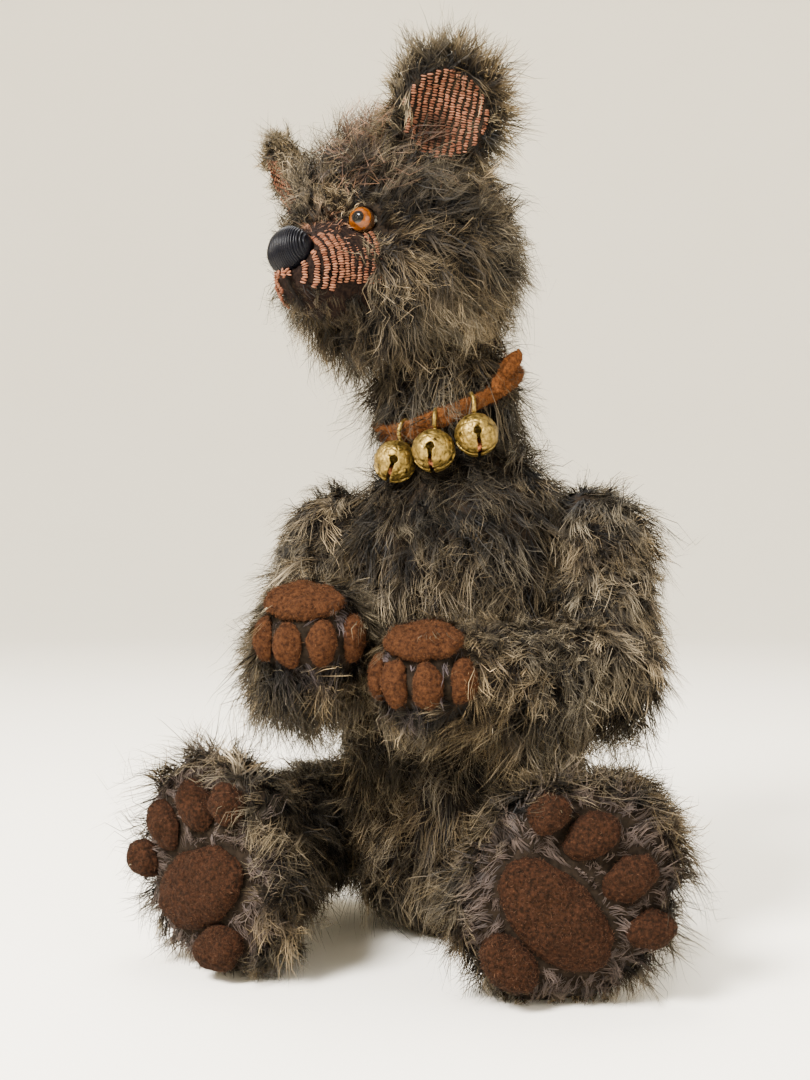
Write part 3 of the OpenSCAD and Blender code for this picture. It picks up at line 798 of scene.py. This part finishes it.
def head_tone_and_painted_shade(p, n, shade):
    """Painted shade darker under the chin, at the temples and round the eyes; pinker on the brow and the
    bridge in the pile's own colour.
    """
    h = to_head(p)
    angle = muzzle_angle(h)
    chin = smooth(-13, -18, h[:, 1]) * smooth(105, 125, angle)
    under = smooth(-8, -16, h[:, 2]) * smooth(-6, -12, h[:, 1])
    temple = smooth(9, 14, np.abs(h[:, 0])) * smooth(-17, -13, h[:, 1]) * smooth(2, -5, h[:, 1])
    dark = (1 - 0.7 * np.maximum(chin, under)) * (1 - 0.7 * temple * smooth(-12, -2, h[:, 2]))
    brow = smooth(7.0, 3.5, np.linalg.norm(h - np.array([9.5, -13.0, 13.5]), axis=1))
    pink = mix(np.ones(3), np.array([1.55, 1.05, 0.95]), brow[:, None])
    bridge = (smooth(-19, -23, h[:, 1]) * (angle < 50))[:, None]
    pink = pink * mix(np.ones(3), np.array([1.35, 0.75, 0.6]), bridge)
    eye_shadow = 1 - 0.5 * smooth(6.5, 3.0, from_pair(h, EYE_AT))
    return shade * (dark * eye_shadow)[:, None, None] * pink[:, None]


head_tree = obstacle_tree("head")
grow("head_fur_front", "head", cloths["head"], 40000, head_length, head_comb, 121,
     lambda p, n: head_keep(p, n) & (to_head(p)[:, 1] < -3), head_tone_and_painted_shade, tree=head_tree)
grow("head_fur_back", "head", cloths["head"], 34000, head_length, head_comb, 122,
     lambda p, n: head_keep(p, n) & (to_head(p)[:, 1] >= -3), head_tone_and_painted_shade, tree=head_tree)


# ---- ear pile

def ear_axes(side):
    """Middle of an ear, the way that its hollow faces, and its up, in the row frame."""
    s = SIDES[side]
    facing = in_head(np.array([0.612 * s, -0.707, -0.354]))
    middle = from_head([EAR_AT * [s, 1, 1]])[0]
    up = unit(in_head((0.35 * s, 0.1, 1)))
    up = unit(up - facing * (up @ facing))
    return middle, facing, up


def grow_ear(side, seed):
    middle, facing, up = ear_axes(side)

    def keep(p, n):
        lining = (n @ facing > 0.15) & (np.linalg.norm(in_plane(p, middle, facing), axis=1) < 7.6)
        return ~lining

    def length(p, n):
        flat = in_plane(p, middle, facing)
        edge = smooth(4, 8.5, np.linalg.norm(flat, axis=1))
        outer = smooth(-4, 6, flat @ (up + 0.6 * SIDES[side] * in_head((1, 0, 0))))
        return mix(4.5, mix(4.0, 7.5, outer), edge) * (0.62 if side == "right" else 1.0)

    def comb(p, n):
        return 1.3 * unit(in_plane(p, middle, facing)) + 0.5 * up - 0.35 * facing

    def tint(p, n, shade):
        edge = smooth(4, 9, np.linalg.norm(in_plane(p, middle, facing), axis=1))
        pale = mix(np.ones(3), np.array([1.25, 1.22, 1.1]), edge[:, None])
        return shade * pale[:, None]

    grow(side + "_ear_fur", "head", ears[side], 9000, length, comb, seed, keep, tint, lift=0.4, lock=1.6,
         curl=0.7, tree=head_tree)


grow_ear("right", 131)
grow_ear("left", 132)


# ---- arm pile

# Places of the arms in the CAD
ELBOWS = {"right_arm": np.array([-31, -17, 52.0]), "left_arm": np.array([31, -17, 52.0])}
PAWS = {"right_arm": np.array([-17, -45, 59.0]), "left_arm": np.array([4, -44.5, 52.6])}

# Pile keeps this far from a pad, and the clipped pile round the pads is nearly even from root to tip, with
# some painted shade at its root
PAD_GAP = 0.7
NAP_RAMP = (0.3 + 0.7 * PILE_STEPS)[None, :, None]


def pad_middle(names):
    return gathered(names)[0].mean(0)


def grow_arm(body, seed):
    elbow, paw = ELBOWS[body], PAWS[body]
    shoulder = JOINTS[LIMB_JOINTS[body]]
    palm = unit(pad_middle(PADS[body]) - paw)
    fingers = unit(pad_middle(PADS[body][1:]) - pad_middle(PADS[body][:1]))
    forearm, upper = unit(paw - elbow), unit(elbow - shoulder)

    def keep(p, n):
        return pad_distance(body, p) > PAD_GAP

    def face(n):
        return smooth(0.45, 0.8, n @ palm)

    def length(p, n):
        on_paw = smooth(13, 9.5, np.linalg.norm(p - paw, axis=1))
        near = smooth(5.5, 0.8, pad_distance(body, p))
        size = 6.4 + 0.9 * ripple(p, 12, seed + 60) + 2.6 * smooth(0.1, -0.7, n[:, 2])
        outer = np.array([-0.75, -0.1, -0.65])
        tuft = on_paw * smooth(0.68, 0.92, n @ outer) * (body == "right_arm")
        size = size + 7.0 * tuft
        size = mix(size, 1.9, on_paw * near * np.maximum(face(n), 0.25))
        if body == "left_arm":
            size = np.minimum(size, mix(9.0, 5.0, on_paw))
        return size

    def comb(p, n):
        low = smooth(0.25, 0.75, dot(p - shoulder, unit(paw - shoulder)) / np.linalg.norm(paw - shoulder))
        along = mix(upper, forearm, low[:, None])
        on_paw = smooth(12, 8, np.linalg.norm(p - paw, axis=1))[:, None]
        return mix(along + [0, 0, -0.7], fingers + 0.5 * unit(p - paw), on_paw)

    def tint(p, n, shade):
        clipped = smooth(4.5, 1.0, pad_distance(body, p)) * face(n)
        lilac = np.array([0.07, 0.054, 0.055]) * np.exp(0.3 * ripple(p, 2.5, seed + 70))[:, None]
        shade = mix(shade, lilac[:, None] * NAP_RAMP, clipped[:, None, None])
        # Painted shade: the pile is darker where it faces down
        under = 1 - 0.3 * smooth(0.0, -0.7, n[:, 2])
        return shade * under[:, None, None]

    grow(body + "_fur", body, cloths[body], 23000, length, comb, seed, keep, tint)


grow_arm("right_arm", 141)
grow_arm("left_arm", 144)


# ---- leg pile

def sole_axes(body):
    """Middle of a foot's pads, the way that the sole faces, and the way to its toes."""
    middle, facing = flat_frame(gathered(PADS[body])[0], np.array([0, -1, 0]))
    toes = pad_middle([PADS[body][2]]) - pad_middle([PADS[body][1]])
    toes = unit(toes - facing * (toes @ facing))
    return middle, facing, toes


def grow_leg(body, seed):
    middle, facing, toes = sole_axes(body)
    inner = -SIDEWAYS if body == "left_leg" else SIDEWAYS

    def rim(p):
        """0 behind the foot, 1 at the face of the sole."""
        return smooth(-14, -3, (p - middle) @ facing)

    def keep(p, n):
        sat_on = (p[:, 2] < 1.0) & (n[:, 2] < -0.8)
        return (pad_distance(body, p) > PAD_GAP) & ~sat_on

    def length(p, n):
        toe_side = smooth(-6, 12, in_plane(p, middle, facing) @ toes)
        size = 6.4 + 0.9 * ripple(p, 12, seed + 60)
        size = mix(size, mix(6.0, 9.0, toe_side), rim(p))
        sole = smooth(0.55, 0.85, n @ facing)
        size = mix(size, 1.9, sole * smooth(9.0, 2.0, pad_distance(body, p)))
        return size * mix(0.35, 1.0, smooth(0.5, 7, p[:, 2]))

    def comb(p, n):
        spread = unit(in_plane(p, middle, facing)) + 0.35 * facing
        shin = np.array([0, -0.7, -0.75]) + 0.3 * n
        return mix(shin, 1.2 * spread, rim(p)[:, None])

    def tint(p, n, shade):
        sole = smooth(0.5, 0.8, n @ facing) * smooth(8.0, 1.0, pad_distance(body, p))
        fuzz = np.array([0.06, 0.043, 0.036]) * np.exp(0.35 * ripple(p, 2.5, seed + 70))[:, None]
        shade = mix(shade, fuzz[:, None] * NAP_RAMP, sole[:, None, None])
        # Painted shade: darker on the inner side of the leg, away from the face of the sole
        deep = 1 - 0.75 * smooth(0.1, 0.7, n @ inner) * (1 - rim(p))
        return shade * deep[:, None, None]

    grow(body + "_fur", body, cloths[body], 26000, length, comb, seed, keep, tint)


grow_leg("right_leg", 151)
grow_leg("left_leg", 152)


# ---- suede pads

# How high and how wide the lumps of the suede are
PAD_LUMPS = [(0.22, 4.5), (0.07, 1.1), (0.05, 0.6)]


def sew_pad(node, body, seed):
    """A stuffed suede pad: the CAD pad with an uneven outline and a soft, slightly creased face."""
    made = remeshed(node + "_suede", [node], 0.3, relax=2, outside_only=False)
    swell(made, lambda p: sum(h * ripple(p, w, seed + k) for k, (h, w) in enumerate(PAD_LUMPS)) - 0.02)
    place(made, PAW_SUEDE if "arm" in body else FOOT_SUEDE, "suede", body, node, fill=0.8)
    return made


pads = {node: sew_pad(node, body, 200 + 10 * number + k)
        for number, (body, names) in enumerate(PADS.items()) for k, node in enumerate(names)}


# ---- woven cloth of the muzzle and the ears

def weave(name, floats, tones):
    """One piece of many thread floats, each of one tone."""
    made = joined(name, floats)
    paint(made, np.repeat(tones, len(floats[0][0]), axis=0))
    place(made, THREAD, "woven_cloth", "head")


PINK_THREAD = np.array([0.2, 0.088, 0.05])
RUST_THREAD = np.array([0.1, 0.03, 0.015])
FLOAT_PITCH, RIB_PITCH, RIBS, FIRST_RIB = 0.46, 1.3, 15, 2.2
RIB_STAND = 1.05
# Where the weave starts and ends round the muzzle, where it ends towards the cheeks, and the skull's
# radius that it lies on
WEAVE_TOP, WEAVE_BOTTOM, WEAVE_CHIN, WEAVE_BACK, SKULL_R = 38, 119, 132, -16.2, 20.85


def weave_muzzle():
    """Bare woven backing on both sides of the muzzle: ribs round it, each a stack of short floats."""
    rng = np.random.default_rng(301)
    axis = MUZZLE_TIP - MUZZLE_BACK
    span = np.linalg.norm(axis)
    axis = axis / span
    floats, tones = [], []
    for rib in range(RIBS):
        along = (FIRST_RIB + rib * RIB_PITCH) / span
        r = np.interp(along, [0, 1], MUZZLE_R) + RIB_STAND
        past = max(0.0, (along - 1) * span)
        if past > 0:
            r = math.sqrt(max((MUZZLE_R[1] + RIB_STAND) ** 2 - past ** 2, 0.5))
        for sign in (-1, 1):
            top = WEAVE_TOP + 1.5 * rng.normal()
            bottom = WEAVE_BOTTOM if past < 3 else WEAVE_CHIN
            for angle in np.arange(top, bottom, math.degrees(FLOAT_PITCH / r)):
                a = math.radians(angle)
                out = np.array([sign * math.sin(a), 0, math.cos(a)])
                wobble = 0.12 * math.sin(angle * 0.21 + rib)
                h = MUZZLE_BACK + axis * (along * span + wobble) + out * r
                if h[1] > WEAVE_BACK or np.linalg.norm((h - NOSE_AT) / (NOSE_SIZE + 0.3)) < 1:
                    continue
                h = h * max(1.0, SKULL_R / np.linalg.norm(h))
                if np.linalg.norm(h - EYE_AT * [sign, 1, 1]) < EYE_R + 0.5:
                    continue
                normal = unit(out + axis * (past / MUZZLE_R[1]))
                lie = unit(axis - normal * (axis @ normal) + 0.12 * rng.normal(size=3))
                size = np.array([0.6, 0.19, 0.3]) * rng.uniform(0.8, 1.15, 3)
                h = h + normal * rng.uniform(-0.1, 0.12)
                points, faces = bead(h, lie, unit(np.cross(normal, lie)), normal, size)
                floats.append((from_head(points), faces))
                tones.append(mix(RUST_THREAD, PINK_THREAD, rng.beta(3, 1.6)) * rng.uniform(0.75, 1.15))
    weave("muzzle_weave", floats, tones)


def back_muzzle():
    """The dark ground that shows between the ribs."""
    made = remeshed("muzzle_ground", ["muzzle_panel"], 0.35, relax=3)
    swell(made, lambda p: 0.08 * ripple(p, 1.6, 302) - 0.3)
    place(made, MUZZLE_GROUND, "woven_cloth", "head", "muzzle_panel")


def weave_ear(side, seed):
    """The ear's bare lining, of the same woven cloth, darkest low in the hollow by painted shade."""
    rng = np.random.default_rng(seed)
    middle, facing, up = ear_axes(side)
    across = unit(np.cross(up, facing))
    tree = tree_of(*surface_of(ears[side]))
    half, column_pitch = 7.6, 1.25
    floats, tones = [], []
    for column in np.arange(-half, half + 0.1, column_pitch):
        for row in np.arange(-half, half + 0.1, FLOAT_PITCH):
            x, y = column + 0.1 * math.sin(row * 1.3 + column), row + 0.05 * rng.normal()
            if math.hypot(x, y) > half + 0.1:
                continue
            hit = tree.ray_cast(Vector(middle + across * x + up * y + facing * 12), Vector(-facing), 24)
            if hit[0] is None or np.array(hit[1]) @ facing < 0.2:
                continue
            normal = np.array(hit[1])
            lie = unit(across - normal * (across @ normal) + 0.15 * rng.normal(size=3))
            size = np.array([0.5, 0.19, 0.24]) * rng.uniform(0.75, 1.2, 3)
            at = np.array(hit[0]) + normal * 0.1
            floats.append(bead(at, lie, unit(np.cross(normal, lie)), normal, size))
            # Painted shade: the lining darkens towards a spot low in the hollow
            hollow = smooth(5.5, 1.5, math.hypot(x + 1.5 * SIDES[side], y + 3.2))
            tone = mix(RUST_THREAD * 0.9, PINK_THREAD, rng.beta(2.2, 1.8)) * rng.uniform(0.7, 1.15)
            tones.append(tone * (1 - 0.85 * hollow))
    weave(side + "_ear_weave", floats, tones)


weave_muzzle()
back_muzzle()
weave_ear("right", 311)
weave_ear("left", 312)


# ---- nose and eyes

def sew_nose():
    """Satin stitches side by side over a padded nose."""
    rng = np.random.default_rng(321)
    ground = remeshed("nose_ground", ["nose"], 0.25, relax=2)
    swell(ground, lambda p: -0.08)
    place(ground, NOSE_THREAD, "black_thread", "head", "nose", fill=0.9)
    stitches, thread_r, pitch = [], 0.23, 0.082
    turn = np.radians(np.linspace(-64, 72, 19))
    for x in np.arange(-0.94, 0.95, pitch):
        wide = math.sqrt(1 - x * x)
        drift = 0.012 * np.sin(turn * 3 + x * 9) + 0.008 * rng.normal()
        path = np.stack([x + drift, -wide * np.cos(turn), wide * np.sin(turn)], -1)
        path = NOSE_AT + path * (NOSE_SIZE + 0.05)
        stitches.append(tube(from_head(path), thread_r, sides=7, up=HEAD_AXES[0]))
    made = joined("nose_stitches", stitches)
    place(made, NOSE_THREAD, "black_thread", "head")


sew_nose()


def set_eyes():
    """Glass eyes: a black pupil, an amber iris and a dark rim, each a zone of one dome."""
    edges, rows, around = (0, 29, 64, 180), (6, 11, 13), 40
    lat = [np.linspace(edges[k], edges[k + 1], rows[k] + 1)[1:] for k in range(3)]
    lat = np.radians(np.concatenate(lat))
    dome = np.vstack([[[1, 0, 0]], ball_rings(lat, around)])
    i = np.arange(around)
    cap = np.c_[np.zeros(around, int), 1 + (i + 1) % around, 1 + i]
    rings = 1 + ring_quads(around, len(lat))[:, [0, 3, 2, 1]]
    splay = math.radians(24)
    parts = []
    for sign in (-1, 1):
        gaze = unit(np.array([sign * math.sin(splay), -math.cos(splay), 0.06]))
        side = unit(np.cross(gaze, [0, 0, 1]))
        points = EYE_AT * [sign, 1, 1] + EYE_R * (dome @ np.array([gaze, side, np.cross(side, gaze)]))
        parts.append((from_head(points), [cap, rings]))
    made = joined("glass_eye_domes", parts)
    place(made, (PUPIL, IRIS, EYE_RIM), "amber_glass", "head", "glass_eyes")
    caps = np.zeros(2 * around, int)
    zones = np.repeat([0] * (rows[0] - 1) + [1] * rows[1] + [2] * rows[2], around)
    made.data.polygons.foreach_set("material_index", np.concatenate([caps, zones, zones]).astype(np.int32))


set_eyes()


# ---- lace and bells

def ring_frame(node):
    """Middle, axis and mean radius of a CAD ring."""
    p = points_of(NODES[node])
    middle, axis = flat_frame(p, -DOWN)
    return middle, axis, np.linalg.norm(in_plane(p, middle, axis), axis=1).mean()


LACE_SIDES = 14
LACE_FLAT = 0.5
KNOT_TURN = 0.85


def tie_lace():
    """A suede lace wound twice round the neck, with its knot and folded end at the left of the throat."""
    middle, axis, radius = ring_frame("collar_lace")
    front = unit(np.array([0, -1.0, 0]) - axis * (-axis[1]))
    left = np.cross(axis, front)
    left = left if left[0] > 0 else -left
    turn = np.linspace(0, 2 * math.pi, 160)
    parts = []
    for wrap, (rise, tilt, size) in enumerate([(-0.45, 0.3, 1.25), (0.75, -0.75, 1.1)]):
        out = np.cos(turn)[:, None] * front + np.sin(turn)[:, None] * left
        lift = rise + tilt * np.cos(turn - 0.9 - wrap) + 0.12 * np.sin(turn * 5 + wrap)
        stand = radius + 0.1 + 0.22 * wrap + 0.1 * np.sin(turn * 7 + 2 * wrap)
        path = middle + out * stand[:, None] + lift[:, None] * axis
        parts.append(tube(path, size, LACE_SIDES, LACE_FLAT, up=out))
    outward = unit(math.cos(KNOT_TURN) * front + math.sin(KNOT_TURN) * left)
    at = middle + outward * (radius + 0.7)
    along = unit(np.cross(axis, outward))
    along = along if along @ left > 0 else -along
    s = np.linspace(0, 1, 22)[:, None]
    end = at + along * (0.5 + 7.0 * s) + axis * (0.6 + 3.4 * s + 1.2 * np.sin(s * 3.1)) + outward * 1.3 * s
    fold = at + along * (6.4 - 5.2 * s) + axis * (3.9 - 2.2 * s + 1.0 * s * s) + outward * (1.5 + 0.5 * s)
    knot = at + along * (2.6 * s - 1.0) + axis * (1.8 * np.sin(s * 3.1) - 0.2) + outward * 0.7
    parts.append(tube(end, 1.35 - 0.35 * s[:, 0] ** 3, LACE_SIDES, LACE_FLAT, up=outward))
    parts.append(tube(fold, 1.2 - 0.4 * s[:, 0] ** 2, LACE_SIDES, LACE_FLAT, up=outward))
    parts.append(tube(knot, 1.3, LACE_SIDES, 0.75, up=outward))
    raw = joined("lace_shape", parts)
    shape = surface_of(raw)
    bpy.data.objects.remove(raw)
    made = remeshed("suede_lace", [], 0.22, extra=[shape], relax=2, outside_only=False)
    swell(made, lambda p: 0.07 * ripple(p, 1.4, 331) + 0.05 * ripple(p, 0.7, 332))
    place(made, LACE_SUEDE, "lace", "neck", "collar_lace")
    return made


def nap(name, thing, body, count, dark, light, seed, slot, size, width):
    """Short suede fibres that stand off a surface."""
    rng = np.random.default_rng(seed)
    roots, normals = scattered(thing, int(count * PILE_SHARE), rng)
    start = unit(normals + 0.9 * rng.normal(size=roots.shape))
    start = unit(start + normals * np.maximum(0.2 - dot(start, normals), 0)[:, None])
    long = size * rng.uniform(0.5, 1.6, len(roots))
    t = PILE_STEPS[None, :, None]
    bend = rng.normal(size=roots.shape) * 0.4
    path = roots[:, None] + long[:, None, None] * (start[:, None] * t + bend[:, None] * t * t)
    across = unit(np.cross(start, rng.normal(size=roots.shape)))
    tone = mix(np.array(dark), np.array(light), rng.random((len(roots), 1)))
    tone = tone * np.exp(0.25 * ripple(roots, 2.2, seed + 1))[:, None]
    shade = np.repeat(tone[:, None], len(PILE_STEPS), 1)
    ribbons(name, path, across, width * rng.uniform(0.6, 1.2, len(roots)), shade, THREAD, slot, body)


lace = tie_lace()
nap("lace_nap", lace, "neck", 6000, (0.026, 0.0085, 0.0023), (0.11, 0.039, 0.01), 341, "lace", 0.55, 0.09)

PAW_NAP = ((0.012, 0.005, 0.0022), (0.066, 0.027, 0.0105))
FOOT_NAP = ((0.007, 0.0035, 0.0018), (0.055, 0.026, 0.014))
for number, (body, names) in enumerate(PADS.items()):
    for k, node in enumerate(names):
        dark, light = PAW_NAP if "arm" in body else FOOT_NAP
        count = 3200 if "palm" in node or "sole" in node else 2200
        nap(node + "_nap", pads[node], body, count, dark, light, 350 + 10 * number + k, "suede", 0.32, 0.08)


def cast_bell(node, seed):
    """A thin brass bell with the hammered crackle of its plating: raised cells with sunken borders."""
    made = remeshed(node + "_brass", [node], 0.13, relax=2, outside_only=False)
    rng = np.random.default_rng(seed)

    def rise(p):
        cells = kd_of(rng.uniform(p.min(0), p.max(0), (650, 3)))
        near = [cells.find_n(q, 2) for q in p]
        gap = np.array([second[2] - first[2] for first, second in near])
        return 0.1 * smooth(0.0, 0.4, gap) - 0.05

    swell(made, rise)
    place(made, BRASS, "brass", node, node)


for number, bell in enumerate(BELLS):
    cast_bell(bell, 361 + number)


# ---- CAD nodes that stay

# The first word that a node's name holds decides; the rest is joint hardware
KEPT_FINISH = {"stuffing": STUFFING, "disc": HARDBOARD, "pouch": SHOT_BAG, "stitches": DARK_THREAD,
               "pellet": COPPER, "": STEEL}
for node, thing in NODES.items():
    if not thing.hide_render:
        dress(thing, next(finish for word, finish in KEPT_FINISH.items() if word in node))


# ---- stage, light and camera

def stage_bowl():
    """A plain pale floor whose far edge rises all round into a wall."""
    flat, rim, high = 900.0, 1700.0, 2600.0
    turn = np.radians(np.linspace(0, 90, 10))
    outline = [(0.001, 0.0), (flat, 0.0)]
    outline += [(flat + (rim - flat) * math.sin(a), (rim - flat) * (1 - math.cos(a))) for a in turn[1:]]
    outline.append((rim, high))
    around = 72
    lon = np.linspace(0, 2 * math.pi, around, endpoint=False)
    points = np.array([[r * math.cos(a), r * math.sin(a), z] for r, z in outline for a in lon])
    made = new_object("stage", points, [ring_quads(around, len(outline))])
    dress(made, mottled("stage_paint", (0.91, 0.865, 0.76), (0.93, 0.885, 0.79), 3, 0.9))


stage_bowl()

CAMERA_AT = np.array([70.2, -292.0, 76.0])
CAMERA_TURN = math.radians(16)
view_right = np.array([math.cos(CAMERA_TURN), math.sin(CAMERA_TURN), 0])
view_back = np.array([math.sin(CAMERA_TURN), -math.cos(CAMERA_TURN), 0])


def lamp(name, at, aim_at, size, power, colour):
    data = bpy.data.lights.new(name, "AREA")
    data.shape = "DISK"
    data.size = size * MM
    data.energy = power
    data.color = colour
    made = linked(name, data)
    made.location = Vector(at * MM)
    made.rotation_euler = Vector((aim_at - at) * MM).to_track_quat("-Z", "Y").to_euler()


chest = np.array([0, -10.0, 80.0])
lamp("key", chest + view_back * 420 - view_right * 330 + [0, 0, 430], chest, 240, 26.0, (1.0, 0.97, 0.93))
lamp("fill", chest + view_back * 420 + view_right * 480 + [0, 0, 130], chest, 500, 3.0, (0.95, 0.97, 1.0))
lamp("top", chest - view_back * 240 + [0, 0, 620], chest, 420, 8.0, (1.0, 0.98, 0.95))

world = bpy.data.worlds.new("room")
world.use_nodes = True
sky = world.node_tree.nodes["Background"]
sky.inputs["Color"].default_value = (0.95, 0.93, 0.88, 1)
sky.inputs["Strength"].default_value = 1.9
bpy.context.scene.world = world

lens = bpy.data.cameras.new("camera")
lens.lens = 50
lens.sensor_width = 36
lens.sensor_fit = "AUTO"
camera = linked("camera", lens)
camera.location = Vector(CAMERA_AT * MM)
camera.rotation_euler = (math.pi / 2, 0, CAMERA_TURN)
bpy.context.scene.camera = camera
